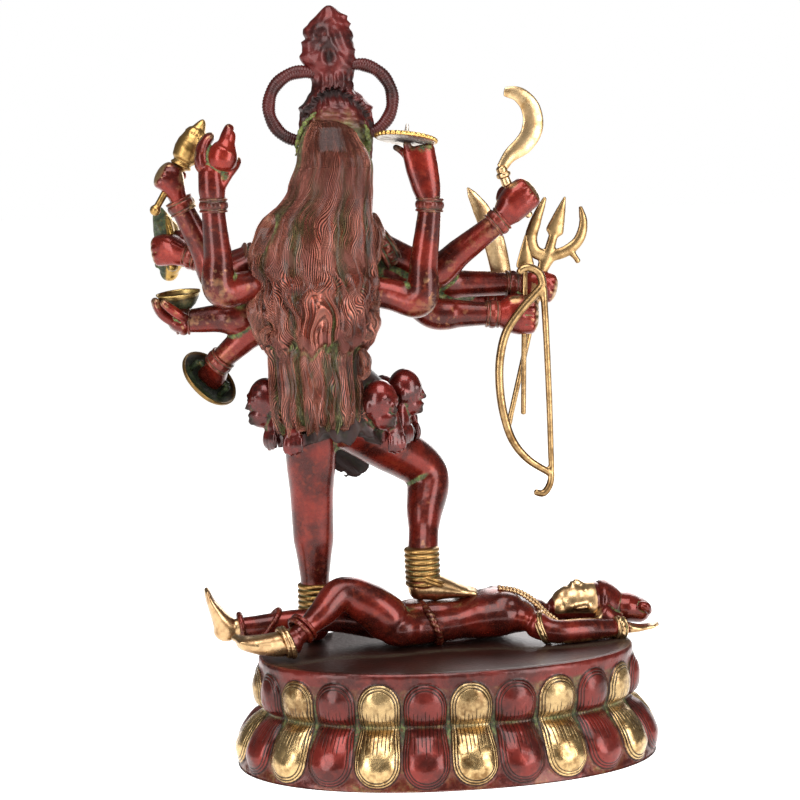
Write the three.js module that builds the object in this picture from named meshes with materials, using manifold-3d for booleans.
// Cast brass group: a ten-armed goddess stands on a reclining figure over an oval lotus base.
// Millimetres, +Z up. The origin is the centre of the base's underside, and the group faces -Y.

import * as THREE from 'three';
import Module from 'manifold-3d';
import { mergeVertices } from 'three/addons/utils/BufferGeometryUtils.js';

const wasm = await Module();
wasm.setup();

// Lotus base
const BASE_LENGTH = 436;
const BASE_DEPTH = 296;
const BASE_HEIGHT = 110;
const BASE_WAIST_HEIGHT = 57;
const BASE_TOP_INSET = 29;
const BASE_BAND_HEIGHT = 11;
const BASE_FOOT_HEIGHT = 9;
const PETALS_PER_ROW = 24;
const PETAL_RELIEF = 8;

// Figures: pose and proportions are drawn at DRAWN_HEIGHT and follow FIGURE_HEIGHT
const FIGURE_HEIGHT = 647;
const DRAWN_HEIGHT = 647;
const FOOT_SEAT_HEIGHT = 43;

// Attributes held in the hands
const FIT_GAP = 0.35;
const CHAKRA_DIAMETER = 64;
const CHAKRA_THICKNESS = 5;
const CHAKRA_SIDES = 18;
const CHAKRA_PIN_HEIGHT = 15;
const SHIELD_DIAMETER = 67;
const SHIELD_THICKNESS = 3.5;
const SHIELD_DISH = 12;
const SHIELD_GRIP_DIAMETER = 6;
const SHIELD_GRIP_SPREAD = 0.6;
const BOWL_LENGTH = 44;
const BOWL_WIDTH = 34;
const BOWL_DEPTH = 19;
const BOWL_WALL = 2.5;
const BOW_LIMB_DIAMETER = 8;
const BOW_STRING_DIAMETER = 5.6;
const ARROW_SHAFT_DIAMETER = 5.4;
const ARROW_HEAD_WIDTH = 19;
const ARROW_HEAD_THICKNESS = 5;
const TRIDENT_SHAFT_DIAMETER = 6.4;
const TRIDENT_THICKNESS = 6;
const SICKLE_GRIP_DIAMETER = 8;
const SICKLE_BLADE_WIDTH = 21;
const SICKLE_BLADE_THICKNESS = 6;
const SWORD_GRIP_DIAMETER = 7;
const SWORD_BLADE_WIDTH = 23;
const SWORD_BLADE_THICKNESS = 5;
const MACE_ROD_DIAMETER = 7;
const MACE_BALL_DIAMETER = 11;
const MACE_HEAD_DIAMETER = 29;

// Facets round each kind of form
const ARM_SIDES = 6;
const LEG_SIDES = 7;
const FIST_SIDES = 5;
const FINGER_SIDES = 4;
const ROD_SIDES = 6;
const TINE_SIDES = 4;

const UNIT = FIGURE_HEIGHT / DRAWN_HEIGHT;
const X_AXIS = new THREE.Vector3(1, 0, 0);
const Y_AXIS = new THREE.Vector3(0, 1, 0);
const Z_AXIS = new THREE.Vector3(0, 0, 1);

// A point of the pose, drawn from the middle of the base's top
const at = (x, y, z) => new THREE.Vector3(x, y, z).multiplyScalar(UNIT);
const between = (a, b, share) => a.clone().lerp(b, share);

// Closed solid from a geometry, with its shared corners merged and its folded faces dropped
function solid(geometry) {
  geometry.deleteAttribute('normal');
  geometry.deleteAttribute('uv');
  const merged = mergeVertices(geometry, 1e-4);
  const index = Array.from(merged.index.array);
  const faces = [];
  for (let i = 0; i < index.length; i += 3) {
    const [a, b, c] = index.slice(i, i + 3);
    if (a !== b && b !== c && c !== a) faces.push(a, b, c);
  }
  const vertProperties = new Float32Array(merged.getAttribute('position').array);
  const triVerts = new Uint32Array(faces);
  return new wasm.Manifold(new wasm.Mesh({ numProp: 3, vertProperties, triVerts }));
}

const join = (pieces) => pieces.reduce((whole, piece) => whole.add(piece));

// Overlapping forms can shut in a small pocket, which is a shell of negative volume: it is filled
const fillPockets = (body) => join(body.decompose().filter((shell) => shell.volume() > 0));

// Unit cylinder bent into a form: place(ring, across, deep) gives each corner of each ring.
// Where mirrored(side) holds, the faces of that side are split along their other diagonal.
function bend(sides, rings, place, mirrored = () => false) {
  const body = new THREE.CylinderGeometry(1, 1, 1, sides, rings);
  const index = body.getIndex();
  for (let side = 0; side < sides; side += 1) {
    for (let face = side * rings; mirrored(side) && face < (side + 1) * rings; face += 1) {
      const [above, below, before] = [0, 1, 2].map((corner) => index.getX(6 * face + corner));
      const beside = index.getX(6 * face + 4);
      [above, below, beside, above, beside, before].forEach((corner, i) => index.setX(6 * face + i, corner));
    }
  }
  const corners = body.getAttribute('position');
  for (let i = 0; i < corners.count; i += 1) {
    const ring = Math.round((0.5 - corners.getY(i)) * rings);
    const corner = place(ring, corners.getX(i), corners.getZ(i));
    corners.setXYZ(i, corner.x, corner.y, corner.z);
  }
  return solid(body);
}

// Elliptical sections along a smooth curve. A ring is [share of length, half-width along
// "wide", half-width across it]; a ring with one half-width is round.
function loft(points, rings, sides, wide = Y_AXIS) {
  const curve = new THREE.CatmullRomCurve3(points, false, 'centripetal');
  return bend(sides, rings.length - 1, (ring, across, deep) => {
    const [share, halfWide, halfDeep = halfWide] = rings[ring];
    const along = curve.getTangentAt(share);
    const side = wide.clone().addScaledVector(along, -wide.dot(along)).normalize();
    const normal = new THREE.Vector3().crossVectors(along, side);
    return curve.getPointAt(share)
      .addScaledVector(side, across * halfWide)
      .addScaledVector(normal, deep * halfDeep);
  });
}

// A rod of one radius along a smooth curve
function rod(points, radius, sides, steps, wide = Y_AXIS) {
  const rings = Array.from({ length: steps + 1 }, (_, i) => [i / steps, radius]);
  return loft(points, rings, sides, wide);
}

// Horizontal sections from the top down. A section is [z, x, y, half-width, half-depth] of the
// drawn figure; carve(angle, share) scales it round the outline.
function stack(sections, sides, carve = () => 1) {
  return bend(sides, sections.length - 1, (ring, across, deep) => {
    const [z, x, y, halfWidth, halfDepth] = sections[ring];
    const share = ring / (sections.length - 1);
    const scale = across || deep ? carve(Math.atan2(deep, across), share) : 1;
    return at(x + across * halfWidth * scale, y - deep * halfDepth * scale, z);
  });
}

// Ellipsoid of the drawn figure, tilted in the vertical plane of its width
function ball(x, y, z, halfX, halfY, halfZ, columns = 8, rows = 6, tilt = 0) {
  const body = new THREE.SphereGeometry(UNIT, columns, rows);
  body.rotateX(Math.PI / 2);
  body.scale(halfX, halfY, halfZ);
  body.rotateY(tilt);
  const centre = at(x, y, z);
  body.translate(centre.x, centre.y, centre.z);
  return solid(body);
}

// Block that fills everything below a level of the pose
function ground(level) {
  const depth = BASE_HEIGHT;
  const block = new THREE.BoxGeometry(3 * BASE_LENGTH, 3 * BASE_DEPTH, depth);
  block.translate(0, 0, level - depth / 2);
  return solid(block);
}

// Ten arms: shoulder, elbow, middle of the bracelet, middle of the hand
const ARM = {
  conch: [at(150, -34, 372), at(219, -4, 368), at(224, 0, 451), at(220, 0, 486)],
  mace: [at(160, -58, 400), at(216, -50, 376), at(252, -48, 451), at(262, -48, 476)],
  severedHead: [at(160, -64, 402), at(212, -66, 384), at(240, -78, 400), at(263, -92, 406)],
  bowl: [at(155, -60, 392), at(196, -52, 338), at(252, -62, 335), at(268, -64, 340)],
  shield: [at(150, -60, 385), at(176, -54, 330), at(216, -70, 292), at(221.5, -80, 279)],
  chakra: [at(84, -32, 366), at(20, -3, 352), at(9, 0, 447), at(14, 0, 482)],
  sickle: [at(62, -52, 410), at(-2, -45, 377), at(-67, -30, 428), at(-89, -30, 449)],
  trident: [at(60, -62, 402), at(-8, -64, 366), at(-88, -62, 363), at(-118, -60, 361)],
  bow: [at(66, -56, 390), at(-3, -42, 336), at(-61, -36, 334), at(-92, -35, 330)],
  sword: [at(66, -62, 392), at(-5, -68, 345), at(-66, -94, 348), at(-94, -98, 348)],
};

const UPPER_ARM_RADIUS = 16 * UNIT;
const ELBOW_RADIUS = 16.5 * UNIT;
const FOREARM_RADIUS = 15 * UNIT;
const WRIST_RADIUS = 11.5 * UNIT;
const BRACELET_RADIUS = 14.5 * UNIT;
const BRACELET_WIDTH = 13 * UNIT;

// One arm with a thick elbow, tapered forearm and a raised bracelet
function arm([shoulder, elbow, wrist, hand]) {
  const palm = between(wrist, hand, 0.5);
  const route = [shoulder, between(shoulder, elbow, 0.6), elbow, between(elbow, wrist, 0.4), wrist, palm];
  const length = new THREE.CatmullRomCurve3(route, false, 'centripetal').getLength();
  const atElbow = shoulder.distanceTo(elbow) / length;
  const atWrist = 1 - palm.distanceTo(wrist) / length;
  const halfBracelet = BRACELET_WIDTH / 2 / length;
  return loft(route, [
    [0, UPPER_ARM_RADIUS],
    [atElbow * 0.96, ELBOW_RADIUS],
    [atElbow + 0.13, FOREARM_RADIUS],
    [atWrist - 1.2 * halfBracelet, WRIST_RADIUS],
    [atWrist - halfBracelet, BRACELET_RADIUS],
    [atWrist + halfBracelet, BRACELET_RADIUS],
    [1, WRIST_RADIUS],
  ], ARM_SIDES);
}

// Closed hand round a rod, with four finger ridges on the side away from the wrist
function fist([, , wrist, hand], grip, size, halfThickness) {
  const axis = grip.clone().normalize();
  const toward = hand.clone().sub(wrist);
  toward.addScaledVector(axis, -toward.dot(axis)).normalize();
  const aside = new THREE.Vector3().crossVectors(axis, toward);
  const fingers = 4;
  const rings = 2 * fingers;
  const halfLength = 19.5 * UNIT * size;
  const reach = 21 * UNIT * size;
  const thickness = halfThickness * UNIT;
  return bend(FIST_SIDES, rings, (ring, across, deep) => {
    const end = ring === 0 || ring === rings;
    const crease = ring % 2 === 0 ? 0.86 : 1;
    const scale = end ? 0.72 : across > 0.3 ? crease : 1;
    const along = halfLength * (1 - (2 * ring) / rings);
    return hand.clone()
      .addScaledVector(axis, along)
      .addScaledVector(toward, across * reach * scale)
      .addScaledVector(aside, -deep * thickness * scale);
  });
}

// Slim cone from one joint to the next
function finger(points, radius, wide = Y_AXIS) {
  return loft(points, [[0, radius * UNIT], [0.6, radius * UNIT], [1, 0.5 * radius * UNIT]], FINGER_SIDES, wide);
}

// Hand that cups the conch, and the conch cast with it
function conchHand() {
  const palm = loft([at(223, 0, 456), at(222, -2, 478), at(228, -6, 500)],
    [[0, 11 * UNIT], [0.4, 14 * UNIT, 19 * UNIT], [0.8, 13 * UNIT, 15 * UNIT], [1, 7 * UNIT]], 6);
  const thumb = finger([at(212, 0, 475), at(202, -2, 490), at(198, -6, 505)], 6);
  const tips = loft([at(231, -9, 494), at(233, -14, 509), at(221, -19, 520)],
    [[0, 11, 6.5], [0.6, 11, 6.5], [1, 8, 3.5]].map(([share, wide, deep]) => [share, wide * UNIT, deep * UNIT]), 5);
  const shell = loft([at(220, -6, 480), at(217, -8, 500), at(207, -8, 520), at(202, -8, 532)],
    [[0, 7], [0.3, 16], [0.64, 14], [0.67, 9.5], [0.84, 7], [0.86, 5], [1, 2]]
      .map(([share, radius]) => [share, radius * UNIT]), 6);
  return join([palm, thumb, tips, shell]);
}

const CHAKRA_CENTRE = at(32, 3, 513);
const CHAKRA_TILT = new THREE.Euler(THREE.MathUtils.degToRad(8), THREE.MathUtils.degToRad(-8), 0);

function chakraHand() {
  const palm = loft([at(10, 0, 455), at(14, -1, 474), at(19, -3, 504)],
    [[0, 11 * UNIT], [0.35, 10 * UNIT, 16 * UNIT], [1, 8 * UNIT, 16.5 * UNIT]], 6);
  const curled = [0, 1, 2].map((i) => finger([
    at(5 + 8 * i, -2, 491), at(5 + 8 * i, -9, 498), at(6 + 8 * i, -17, 494),
  ], 5, X_AXIS));
  const thumb = finger([at(26, -6, 484), at(34, -12, 497), at(45, -14, 503)], 5);
  const index = finger([at(25, 1, 488), at(30, 3, 502), CHAKRA_CENTRE], 5);
  return join([palm, ...curled, thumb, index]);
}

function bowlHand() {
  const palm = loft([at(248, -61, 335), at(260, -63, 332), at(270, -64, 338)],
    [[0, 11 * UNIT], [0.4, 15 * UNIT, 8 * UNIT], [1, 14 * UNIT, 6 * UNIT]], 6);
  const tips = [-1, 0, 1].map((i) => finger([
    at(264, -64 + 9.5 * i, 336), at(273, -64 + 9.5 * i, 344), at(278, -64 + 9 * i, 356),
  ], 5.5));
  const thumb = finger([at(250, -50, 338), at(262, -44, 347), at(274, -45, 357)], 5);
  return join([palm, ...tips, thumb]);
}

// Legs, with anklets as raised rings
function leg(points, radii, ankletStart) {
  const anklets = [[0, 16], [0.03, 18.5], [0.5, 19], [0.54, 15], [1, 14]]
    .map(([share, radius]) => [ankletStart + (1 - ankletStart) * share, radius]);
  return loft(points, [...radii, ...anklets].map(([share, radius]) => [share, radius * UNIT]), LEG_SIDES);
}

// Foot from heel to toes with a flat sole at the given level
function foot(heel, instep, toe, aside, sole) {
  const body = loft([heel, instep, toe],
    [[0, 11], [0.15, 14, 13], [0.45, 16, 15], [0.85, 19, 7], [1, 15, 4.5]]
      .map(([share, ...half]) => [share, ...half.map((size) => size * UNIT)]), 6, aside);
  return body.subtract(ground(sole));
}

// Hair down the back: locks as ridges that widen towards ragged ends
const HAIR_LOCKS = 7;
function hair() {
  const sections = [
    [541, 100, -34, 20, 20], [530, 101, -32, 34, 31], [506, 103, -29, 40, 34], [474, 106, -20, 42, 30],
    [448, 113, -16, 51, 26], [424, 122, -14, 59, 25], [396, 125, -13, 61, 25], [366, 124, -13, 57, 25],
    [318, 122, -14, 55, 24], [270, 121, -16, 45, 21], [232, 117, -19, 26, 12],
  ];
  return stack(sections, 2 * HAIR_LOCKS, (angle, share) => {
    const ridge = Math.cos(HAIR_LOCKS * angle);
    return 1 + (0.03 + 0.06 * share) * ridge;
  });
}

// Side locks that lie over the shoulders
function sideLock(points, radius) {
  return loft(points, [[0, 4 * UNIT], [0.4, radius * UNIT], [1, 3 * UNIT]], 6);
}

// Crown: leaf-edged plate, waisted neck and flared top
function crown() {
  const sections = [
    [647, 104, -45, 3, 3], [639, 103, -45, 13, 9], [626, 102, -45, 24, 16], [600, 101, -45, 26, 18],
    [577, 97, -45, 19, 15], [563, 96, -45, 21, 18], [549, 95, -44, 34, 27], [530, 95, -42, 37, 28],
  ];
  const leaves = 6;
  return stack(sections, 2 * leaves, (angle) => 1 + 0.045 * Math.cos(leaves * angle));
}

// Ribbed loop from the crown out and down to the head
function crownLoop(centre, radius, fromAngle, toAngle) {
  const points = Array.from({ length: 9 }, (_, i) => {
    const angle = THREE.MathUtils.degToRad(fromAngle + ((toAngle - fromAngle) * i) / 8);
    return centre.clone().add(at(radius * Math.cos(angle), 0, radius * Math.sin(angle)));
  });
  return rod(points, 6.4 * UNIT, 4, 9);
}

function head() {
  const skull = ball(98, -47, 505, 26, 30, 37, 8, 6, 0.1);
  const jaw = ball(97, -60, 484, 18, 17, 16, 6, 4);
  const nose = loft([at(98, -74, 510), at(97, -80, 495)], [[0, 1.5 * UNIT], [1, 3.5 * UNIT]], 4, X_AXIS);
  return join([skull, jaw, nose]);
}

function torso() {
  const body = stack([
    [470, 101, -44, 13, 13], [438, 103, -46, 15, 14], [424, 108, -48, 42, 20], [404, 112, -49, 54, 27],
    [362, 114, -50, 40, 27], [318, 115, -50, 32, 24], [282, 116, -47, 42, 30], [224, 112, -46, 46, 32],
  ], 8);
  const breasts = [93, 134].map((x) => ball(x, -74, 385, 18, 15, 17, 6, 3));
  const shoulders = [[146, -48, 388, 22, 27, 32], [78, -46, 384, 24, 28, 36]].map((form) => ball(...form, 6, 4));
  return join([body, ...breasts, ...shoulders]);
}

// Skirt: girdle, cloth with a jagged hem, a row of heads and the hands that hang between them
function skirt() {
  const cloth = stack([
    [290, 115, -47, 40, 31], [278, 113, -47, 52, 38], [254, 105, -46, 68, 45], [214, 98, -48, 74, 46],
  ], 12, (angle, share) => 1 + 0.06 * share * Math.cos(6 * angle));
  const heads = [
    [179, -34, 252], [62, -8, 246], [31, -34, 257], [46, -80, 250], [108, -96, 244], [162, -78, 248],
  ].map(([x, y, z]) => ball(x, y, z, 16.5, 17.5, 25, 6, 3));
  const hands = [
    [168, -30, 222], [44, -14, 220], [24, -56, 218], [138, -96, 214],
  ].map(([x, y, z]) => {
    const inward = new THREE.Vector3(x - 112, y + 46, 0).multiplyScalar(0.25);
    return loft([at(x - inward.x, y - inward.y, z + 28), at(x, y, z + 8), at(x - 2, y, z - 18)],
      [[0, 8 * UNIT], [0.6, 10 * UNIT, 7 * UNIT], [1, 5 * UNIT, 3 * UNIT]], FINGER_SIDES);
  });
  const flap = loft([at(92, -76, 235), at(86, -84, 200), at(72, -84, 166)],
    [[0, 20 * UNIT, 5 * UNIT], [0.6, 24 * UNIT, 4 * UNIT], [1, 10 * UNIT, 2 * UNIT]], 6, X_AXIS);
  return join([cloth, ...heads, ...hands, flap]);
}

// Closed hands: the direction of the rod, the size of the hand and its half-thickness
const GRIP = {
  mace: [at(-50, 0, 86), 0.9, 16],
  severedHead: [at(5, 6, 100), 0.86, 15],
  shield: [at(74, 0, 67), 0.7, 12],
  sickle: [at(59, 0, 81), 1, 17],
  trident: [at(-24, 0, 97), 0.84, 15],
  bow: [at(-5, 0, 100), 0.95, 16],
  sword: [at(38, 0, 92), 0.84, 15],
};

function goddess() {
  const fists = Object.entries(GRIP).map(([name, grip]) => fist(ARM[name], ...grip));
  const arms = Object.values(ARM).map(arm);
  const hands = [conchHand(), chakraHand(), bowlHand()];
  const leftLeg = leg([at(128, -48, 235), at(127, -55, 185), at(126, -61, 142), at(125, -62, 90), at(125, -62, 12)],
    [[0, 27], [0.24, 25], [0.42, 22], [0.56, 20.5], [0.74, 15.5]], 0.76);
  const rightLeg = leg([at(92, -46, 232), at(45, -62, 200), at(4, -74, 168), at(11, -52, 126), at(18, -27, 80),
    at(19, -25, FOOT_SEAT_HEIGHT + 12)],
    [[0, 30], [0.2, 28], [0.38, 23.5], [0.55, 21.5], [0.72, 16.5]], 0.75);
  const leftFoot = foot(at(126, -50, 14), at(124, -74, 14), at(119, -96, 7), X_AXIS, FIT_GAP);
  const rightFoot = foot(at(34, -24, FOOT_SEAT_HEIGHT + 14), at(8, -25, FOOT_SEAT_HEIGHT + 14),
    at(-36, -25, FOOT_SEAT_HEIGHT + 6), Y_AXIS, UNIT * FOOT_SEAT_HEIGHT + FIT_GAP);
  const loops = [
    crownLoop(at(128, -42, 547), 34.5, 112, -84),
    crownLoop(at(72.5, -42, 553), 35.5, 80, 238),
  ];
  const locks = [
    sideLock([at(150, -18, 446), at(166, -10, 430), at(181, -12, 405), at(186, -16, 380)], 11),
    sideLock([at(176, -14, 368), at(184, -12, 350), at(180, -14, 325), at(176, -16, 300)], 9),
  ];
  return join([
    torso(), head(), hair(), crown(), ...loops, ...locks, skirt(),
    ...arms, ...fists, ...hands,
    leftLeg, rightLeg, leftFoot, rightFoot,
  ]);
}

// Disc with a raised rim line and a hub pin, balanced on the raised finger
function chakraDisc(grow = 0) {
  const radius = CHAKRA_DIAMETER / 2;
  const half = CHAKRA_THICKNESS / 2 + grow;
  const disc = bend(CHAKRA_SIDES, 2, (ring, across, deep) => {
    const rim = ring === 1 ? 1 : 0.94;
    const height = half * (1 - ring);
    const corner = new THREE.Vector3(across, -deep, 0).multiplyScalar(radius * rim + grow);
    return corner.setZ(height).applyEuler(CHAKRA_TILT).add(CHAKRA_CENTRE);
  });
  const pin = loft([CHAKRA_CENTRE, CHAKRA_CENTRE.clone().addScaledVector(Z_AXIS, CHAKRA_PIN_HEIGHT)],
    [[0, 4 + grow], [1, 1.5 + grow]], ROD_SIDES);
  return join([disc, pin]);
}

const SHIELD_RIM_CENTRE = at(226, -84, 274);
const SHIELD_FACE = new THREE.Vector3(0.58, -0.52, -0.62).normalize();

// Dished round shield and the bar behind it that the hand holds
function shield(grow = 0) {
  const turn = new THREE.Quaternion().setFromUnitVectors(Z_AXIS, SHIELD_FACE);
  const radius = SHIELD_DIAMETER / 2;
  const half = SHIELD_THICKNESS / 2 + grow;
  const shares = [[0.25, 1], [0.65, 1], [1, 1], [1, -1], [0.65, -1], [0.25, -1]];
  const plate = bend(12, shares.length - 1, (ring, across, deep) => {
    const [share, side] = shares[ring];
    const dome = SHIELD_DISH * (1 - share * share);
    const reach = share * radius + (share === 1 ? grow : 0);
    return new THREE.Vector3(across * reach, -deep * reach, dome + side * half)
      .applyQuaternion(turn).add(SHIELD_RIM_CENTRE);
  });
  const hand = ARM.shield[3];
  const along = GRIP.shield[0].clone().normalize();
  const gripRadius = SHIELD_GRIP_DIAMETER / 2 + grow;
  const barEnd = (sign) => hand.clone().addScaledVector(along, sign * SHIELD_GRIP_SPREAD * radius);
  const domeThere = SHIELD_DISH * (1 - SHIELD_GRIP_SPREAD ** 2);
  const footOf = (end) => end.clone()
    .addScaledVector(SHIELD_FACE, domeThere + SHIELD_RIM_CENTRE.clone().sub(end).dot(SHIELD_FACE));
  const bar = rod([barEnd(-1), barEnd(1)], gripRadius, ROD_SIDES, 1, SHIELD_FACE);
  const posts = [-1, 1].map((sign) => rod([barEnd(sign), footOf(barEnd(sign))], gripRadius, ROD_SIDES, 1, along));
  return join([plate, bar, ...posts]);
}

// Hollow boat-shaped bowl with an even wall
const BOWL_RIM = at(256.5, -64, 364);
const BOWL_TILT = new THREE.Euler(THREE.MathUtils.degToRad(-8), THREE.MathUtils.degToRad(6), 0);
function bowl(grow = 0) {
  const hull = (inset, top) => bend(12, 3, (ring, across, deep) => {
    const share = [1, 0.88, 0.64, 0.25][ring];
    const depth = [0, 0.4, 0.8, 1][ring] * (BOWL_DEPTH - inset);
    const halfLength = share * BOWL_LENGTH / 2 - inset;
    const halfWidth = share * BOWL_WIDTH / 2 - inset;
    const height = ring === 0 ? top : -depth;
    return new THREE.Vector3(across * halfLength, -deep * halfWidth, height).applyEuler(BOWL_TILT).add(BOWL_RIM);
  });
  const outside = hull(-grow, grow);
  return grow ? outside : outside.subtract(hull(BOWL_WALL, FIT_GAP));
}

const BOW_PLANE = -16;
const inBowPlane = (x, z) => at(x, BOW_PLANE, z);

// Bow with a hooked end, its straight string rod and the curl at the foot
function bow(grow = 0) {
  const limbRadius = BOW_LIMB_DIAMETER / 2 + grow;
  const hook = [[-84, 375], [-88, 380], [-96, 381], [-106, 375], [-110, 361]];
  const limb = [
    [-109, 362], [-86, 338], [-71, 317], [-64, 291], [-63, 262], [-67, 232], [-76, 205], [-91, 186], [-115, 170],
  ];
  const string = [[-110, 362], [-112, 320], [-114.5, 246], [-116, 168]];
  const curl = [[-116, 172], [-114, 159], [-107, 150], [-97, 152]];
  const path = (points) => points.map(([x, z]) => inBowPlane(x, z));
  return join([
    rod(path(hook), limbRadius * 0.9, ROD_SIDES, 4),
    rod(path(limb), limbRadius, ROD_SIDES, 7),
    rod(path(string), BOW_STRING_DIAMETER / 2 + grow, ROD_SIDES, 1),
    rod(path(curl), limbRadius * 0.8, ROD_SIDES, 3),
  ]);
}

const ARROW_PLANE = -32;

function arrow(grow = 0) {
  const place = (x, z) => at(x, ARROW_PLANE, z);
  const shaftRadius = ARROW_SHAFT_DIAMETER / 2 + grow;
  const shaft = rod([place(-91, 230), place(-93, 317), place(-95, 386)], shaftRadius, ROD_SIDES, 1);
  const halfWidth = ARROW_HEAD_WIDTH / 2 + grow;
  const halfThickness = ARROW_HEAD_THICKNESS / 2 + grow;
  const point = loft([place(-95, 378), place(-95.5, 396), place(-96, 414)],
    [[0, halfThickness, halfWidth * 0.8], [0.12, halfThickness, halfWidth], [0.6, halfThickness, halfWidth * 0.6],
      [1, 0.8, 0.8]], 4);
  return join([shaft, point]);
}

const TRIDENT_PLANE = -60;

function trident(grow = 0) {
  const place = (x, z) => at(x, TRIDENT_PLANE, z);
  const flat = TRIDENT_THICKNESS / 2 + grow;
  const shaftRadius = TRIDENT_SHAFT_DIAMETER / 2 + grow;
  const shaft = rod([place(-81, 215), place(-101, 296), place(-120, 374)], shaftRadius, ROD_SIDES, 1);
  const rings = (list) => list.map(([share, half]) => [share, flat, half * UNIT + grow]);
  const socket = loft([place(-117, 366), place(-121, 380), place(-127, 393)],
    rings([[0, 4], [0.4, 6], [1, 9]]), TINE_SIDES);
  const centre = loft([place(-125, 388), place(-132, 412), place(-145, 452)],
    rings([[0, 6], [0.38, 5], [0.44, 9.5], [0.7, 7], [1, 1]]), TINE_SIDES);
  const nearTine = loft([place(-125, 390), place(-112, 396), place(-108, 408), place(-113, 426), place(-124, 452)],
    rings([[0, 7], [0.3, 8], [0.6, 7], [1, 1.5]]), TINE_SIDES);
  const farTine = loft([place(-126, 390), place(-146, 396), place(-159, 407), place(-164, 424), place(-161, 442)],
    rings([[0, 7], [0.35, 6.5], [0.6, 6.5], [1, 1.5]]), TINE_SIDES);
  const barb = loft([place(-150, 395), place(-159, 383)], rings([[0, 4], [1, 3]]), 4);
  return join([shaft, socket, centre, nearTine, farTine, barb]);
}

const SICKLE_PLANE = -30;

function sickle(grow = 0) {
  const place = (x, z) => at(x, SICKLE_PLANE, z);
  const grip = rod([place(-101, 432), place(-74, 470)], SICKLE_GRIP_DIAMETER / 2 + grow, ROD_SIDES, 1);
  const ferrule = loft([place(-77, 465), place(-70, 484)],
    [[0, 5], [0.25, 6.5], [0.5, 6.5], [0.6, 5], [1, 5.5]].map(([share, radius]) => [share, radius * UNIT + grow]), 6);
  const flat = SICKLE_BLADE_THICKNESS / 2 + grow;
  const half = SICKLE_BLADE_WIDTH / 2;
  const blade = loft([
    place(-71, 482), place(-80, 494), place(-95, 506), place(-103, 518), place(-105, 531), place(-101, 545),
    place(-90, 556), place(-75, 559),
  ], [[0, 0.45], [0.12, 0.55], [0.3, 0.85], [0.5, 1], [0.68, 0.9], [0.84, 0.7], [1, 0.25]]
    .map(([share, width]) => [share, flat * Math.max(width, 0.5), half * width + grow]), 6);
  return join([grip, ferrule, blade]);
}

const SWORD_PLANE = -98;

function sword(grow = 0) {
  const place = (x, z) => at(x, SWORD_PLANE, z);
  const grip = rod([place(-103, 325), place(-84, 372)], SWORD_GRIP_DIAMETER / 2 + grow, ROD_SIDES, 1);
  const pommel = ball(-103, SWORD_PLANE, 325, 6, 6, 6, 5, 4);
  const guard = rod([place(-98, 371), place(-73, 361)], SWORD_GRIP_DIAMETER / 2 + grow, 6, 1);
  const flat = SWORD_BLADE_THICKNESS / 2 + grow;
  const half = SWORD_BLADE_WIDTH / 2;
  const blade = loft([place(-86, 366), place(-78, 404), place(-66, 436), place(-50, 463)],
    [[0, 0.9], [0.4, 1], [0.75, 0.75], [0.92, 0.4], [1, 0.08]]
      .map(([share, width]) => [share, flat * Math.max(width, 0.3), half * width + grow]), 4);
  return join([grip, pommel, guard, blade]);
}

const MACE_PLANE = -48;

function mace(grow = 0) {
  const place = (x, z) => at(x, MACE_PLANE, z);
  const shaft = rod([place(278, 447), place(249, 496)], MACE_ROD_DIAMETER / 2 + grow, ROD_SIDES, 1);
  const ballRadius = MACE_BALL_DIAMETER / 2 + grow;
  const pommel = ball(278, MACE_PLANE, 447, ballRadius, ballRadius, ballRadius, 6, 4);
  const half = MACE_HEAD_DIAMETER / 2;
  const bud = loft([place(254, 486), place(227, 536)],
    [[0, 0.45], [0.1, 0.75], [0.16, 0.62], [0.38, 1], [0.68, 0.78], [0.7, 0.6], [0.8, 0.6], [0.82, 0.4], [1, 0.12]]
      .map(([share, radius]) => [share, half * radius + grow]), 7);
  return join([shaft, pommel, bud]);
}

// Head hung by its hair, which passes through the fist
function severedHead(grow = 0) {
  const skull = ball(260, -124, 396, 14, 16, 21, 6, 5);
  const nose = ball(260, -139, 394, 3, 4, 5, 4, 2);
  const scalp = loft([at(260, -122, 404), at(263, -116, 424), at(269, -102, 438), at(273, -98, 449)],
    [[0, 15], [0.5, 12], [1, 4]].map(([share, radius]) => [share, radius * UNIT + grow]), 6, X_AXIS);
  const strand = loft([at(268, -100, 440), at(263, -94, 420), at(259, -91, 384)],
    [[0, 8], [0.35, 6], [1, 5]].map(([share, radius]) => [share, radius * UNIT + grow]), 6, X_AXIS);
  return join([skull, nose, scalp, strand]);
}

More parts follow.
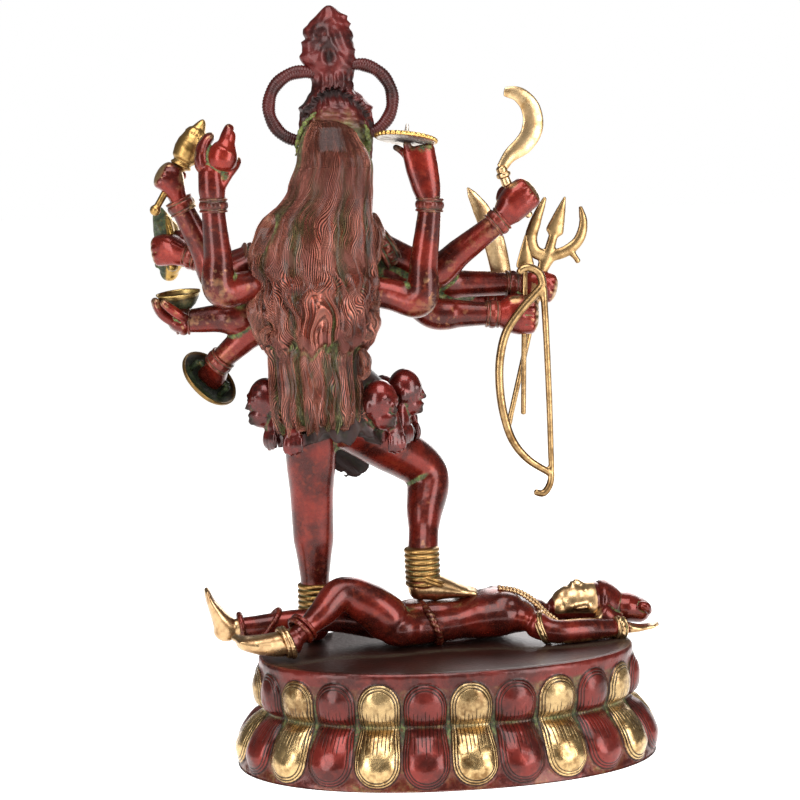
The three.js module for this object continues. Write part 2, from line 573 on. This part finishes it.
// Reclining figure under the standing one, flat where it lies on the base
function recliningFigure() {
  const rings = (list) => list.map(([share, ...half]) => [share, ...half.map((size) => size * UNIT)]);
  const trunk = [
    at(-112, -28, 26), at(-84, -25, 26), at(-50, -22, 26), at(-5, -18, 19), at(45, -16, 18), at(70, -14, 20),
  ];
  const body = loft(trunk, rings([
    [0, 12, 11], [0.15, 17, 15], [0.2, 40, 17], [0.4, 36, 19], [0.62, 26, 15], [0.85, 33, 18], [1, 26, 15],
  ]), 8);
  const skull = ball(-156, -30, 30, 30, 23, 23, 8, 5);
  const nose = ball(-142, -30, 53, 6, 3.5, 5, 4, 2);
  const locks = [[-182, -30, 30, 20, 20, 19], [-203, -24, 22, 17, 19, 15], [-184, -10, 16, 18, 12, 12]]
    .map((lump) => ball(...lump, 6, 4));
  const nearLeg = loft([at(48, 2, 20), at(80, 2, 48), at(106, 2, 60), at(128, 14, 44), at(156, 28, 24)],
    rings([[0, 20], [0.3, 20], [0.5, 18], [0.68, 15], [1, 12]]), 6);
  const nearFoot = loft([at(150, 24, 20), at(176, 30, 18), at(202, 33, 20), at(217, 34, 24)],
    rings([[0, 10, 10], [0.35, 11, 11], [0.75, 14, 7], [1, 8, 4]]), 6);
  const farLeg = loft([at(55, -38, 20), at(110, -32, 28), at(150, -28, 28), at(206, -30, 25)],
    rings([[0, 19], [0.4, 11], [0.7, 11.5], [1, 10]]), 6);
  const farFoot = loft([at(207, -30, 8), at(214, -30, 20), at(228, -30, 42), at(242, -30, 66)],
    rings([[0, 9, 8], [0.25, 12, 14], [0.7, 14, 8], [1, 8, 3]]), 6);
  const nearArmPath = [
    at(-84, 8, 24), at(-98, 15, 16), at(-110, 20, 13), at(-145, 14, 12), at(-185, 2, 9), at(-205, -2, 8),
  ];
  const nearArm = loft(nearArmPath,
    rings([[0, 15], [0.24, 12], [0.45, 11.5], [0.76, 9], [0.92, 11, 6], [1, 7, 4]]), 6);
  const farArm = loft([at(-80, -52, 24), at(-60, -70, 15), at(-40, -78, 12), at(-5, -80, 10), at(28, -76, 9)],
    rings([[0, 14], [0.5, 10], [0.9, 9, 6], [1, 5, 4]]), 6);
  const mound = stack([[FOOT_SEAT_HEIGHT + 4, 8, -24, 36, 20], [34, 8, -23, 42, 26], [12, 8, -22, 44, 30]], 8,
    (angle) => 1 + 0.05 * Math.cos(4 * angle));
  const shoulders = ball(-76, -24, 25, 20, 42, 17, 6, 4);
  const above = new THREE.BoxGeometry(2 * BASE_LENGTH, 2 * BASE_DEPTH, BASE_HEIGHT);
  above.translate(0, 0, BASE_HEIGHT / 2 + UNIT * FOOT_SEAT_HEIGHT);
  const seat = mound.subtract(solid(above));
  return join([
    body, shoulders, skull, nose, ...locks, nearLeg, nearFoot, farLeg, farFoot, nearArm, farArm, seat,
  ]).subtract(ground(FIT_GAP));
}

// Oval outline of the base, with points spaced evenly round it
const OUTLINE_POWER = 2 / 2.15;
const outline = new THREE.CatmullRomCurve3(Array.from({ length: 144 }, (_, i) => {
  const angle = (2 * Math.PI * i) / 144;
  const reach = (value) => Math.sign(value) * Math.abs(value) ** OUTLINE_POWER;
  return new THREE.Vector3(reach(Math.cos(angle)), reach(Math.sin(angle)) * (BASE_DEPTH / BASE_LENGTH), 0);
}), true);

// Base: two rows of bulged petals that meet at a waist under a plain band
function lotusBase() {
  const columnsPerPetal = 3;
  const columns = PETALS_PER_ROW * columnsPerPetal;
  const shoulder = BASE_HEIGHT - BASE_BAND_HEIGHT;
  const upper = (share) => BASE_WAIST_HEIGHT + (shoulder - BASE_WAIST_HEIGHT) * share;
  const lower = (share) => BASE_FOOT_HEIGHT + (BASE_WAIST_HEIGHT - BASE_FOOT_HEIGHT) * share;
  // Each level is [height, inset from the foot outline, share of the petal relief]
  const levels = [
    [BASE_HEIGHT, BASE_TOP_INSET, 0], [shoulder, BASE_TOP_INSET, 0],
    [upper(0.85), BASE_TOP_INSET, 0.8], [upper(0.3), BASE_TOP_INSET - 1, 1],
    [BASE_WAIST_HEIGHT, BASE_TOP_INSET + 2, 0.1],
    [lower(0.75), BASE_TOP_INSET * 0.8, 0.8], [lower(0.25), PETAL_RELIEF, 1],
    [BASE_FOOT_HEIGHT, PETAL_RELIEF / 2, 0.1], [0, 0, 0],
  ];
  const half = BASE_LENGTH / 2;
  return bend(columns, levels.length - 1, (ring, across, deep) => {
    const [height, inset, relief] = levels[ring];
    if (!across && !deep) return new THREE.Vector3(0, 0, height);
    const turn = Math.atan2(-deep, across) / (2 * Math.PI);
    const share = (turn + 1 + 0.5 / columns) % 1;
    const inPetal = (share * PETALS_PER_ROW + 0.5) % 1;
    const bulge = 1 - (2 * inPetal - 1) ** 2;
    const edge = outline.getPointAt(share);
    const outward = new THREE.Vector3(edge.x * (BASE_DEPTH / BASE_LENGTH) ** 2, edge.y, 0).normalize();
    return edge.multiplyScalar(half)
      .addScaledVector(outward, PETAL_RELIEF * relief * bulge - inset)
      .setZ(height);
  }, (side) => side % columnsPerPetal === 0);
}

const LACQUER = { color: 0x7a241c, roughness: 0.35, metalness: 0.6 };
const BRASS = { color: 0xc9a35a, roughness: 0.3, metalness: 1 };
const AGED_BRASS = { color: 0x8a7a3e, roughness: 0.5, metalness: 0.8 };

// Named mesh of a joined solid
function mesh(name, body, look) {
  const { vertProperties, triVerts } = body.getMesh();
  const geometry = new THREE.BufferGeometry();
  geometry.setAttribute('position', new THREE.BufferAttribute(vertProperties, 3));
  geometry.setIndex(new THREE.BufferAttribute(triVerts, 1));
  geometry.computeVertexNormals();
  const made = new THREE.Mesh(geometry, new THREE.MeshStandardMaterial(look));
  made.name = name;
  return made;
}

// Every attribute is made twice: as itself, and grown by the fit gap to clear its hand
const ATTRIBUTES = {
  chakra_disc: [chakraDisc, BRASS],
  sickle_sword: [sickle, BRASS],
  straight_sword: [sword, BRASS],
  trident: [trident, BRASS],
  arrow: [arrow, BRASS],
  bow: [bow, BRASS],
  mace: [mace, BRASS],
  shield: [shield, AGED_BRASS],
  severed_head: [severedHead, AGED_BRASS],
  bowl: [bowl, AGED_BRASS],
};

const figures = new THREE.Group();
figures.position.z = BASE_HEIGHT;

const grownAttributes = Object.values(ATTRIBUTES).map(([make]) => make(FIT_GAP));
const kali = grownAttributes.reduce((body, tool) => body.subtract(tool), goddess());
figures.add(mesh('kali_figure', fillPockets(kali), LACQUER));
figures.add(mesh('shiva_figure', fillPockets(recliningFigure()), LACQUER));
for (const [name, [make, look]] of Object.entries(ATTRIBUTES)) figures.add(mesh(name, make(), look));

const group = new THREE.Group();
group.add(mesh('lotus_base', lotusBase(), LACQUER));
group.add(figures);

export default group;
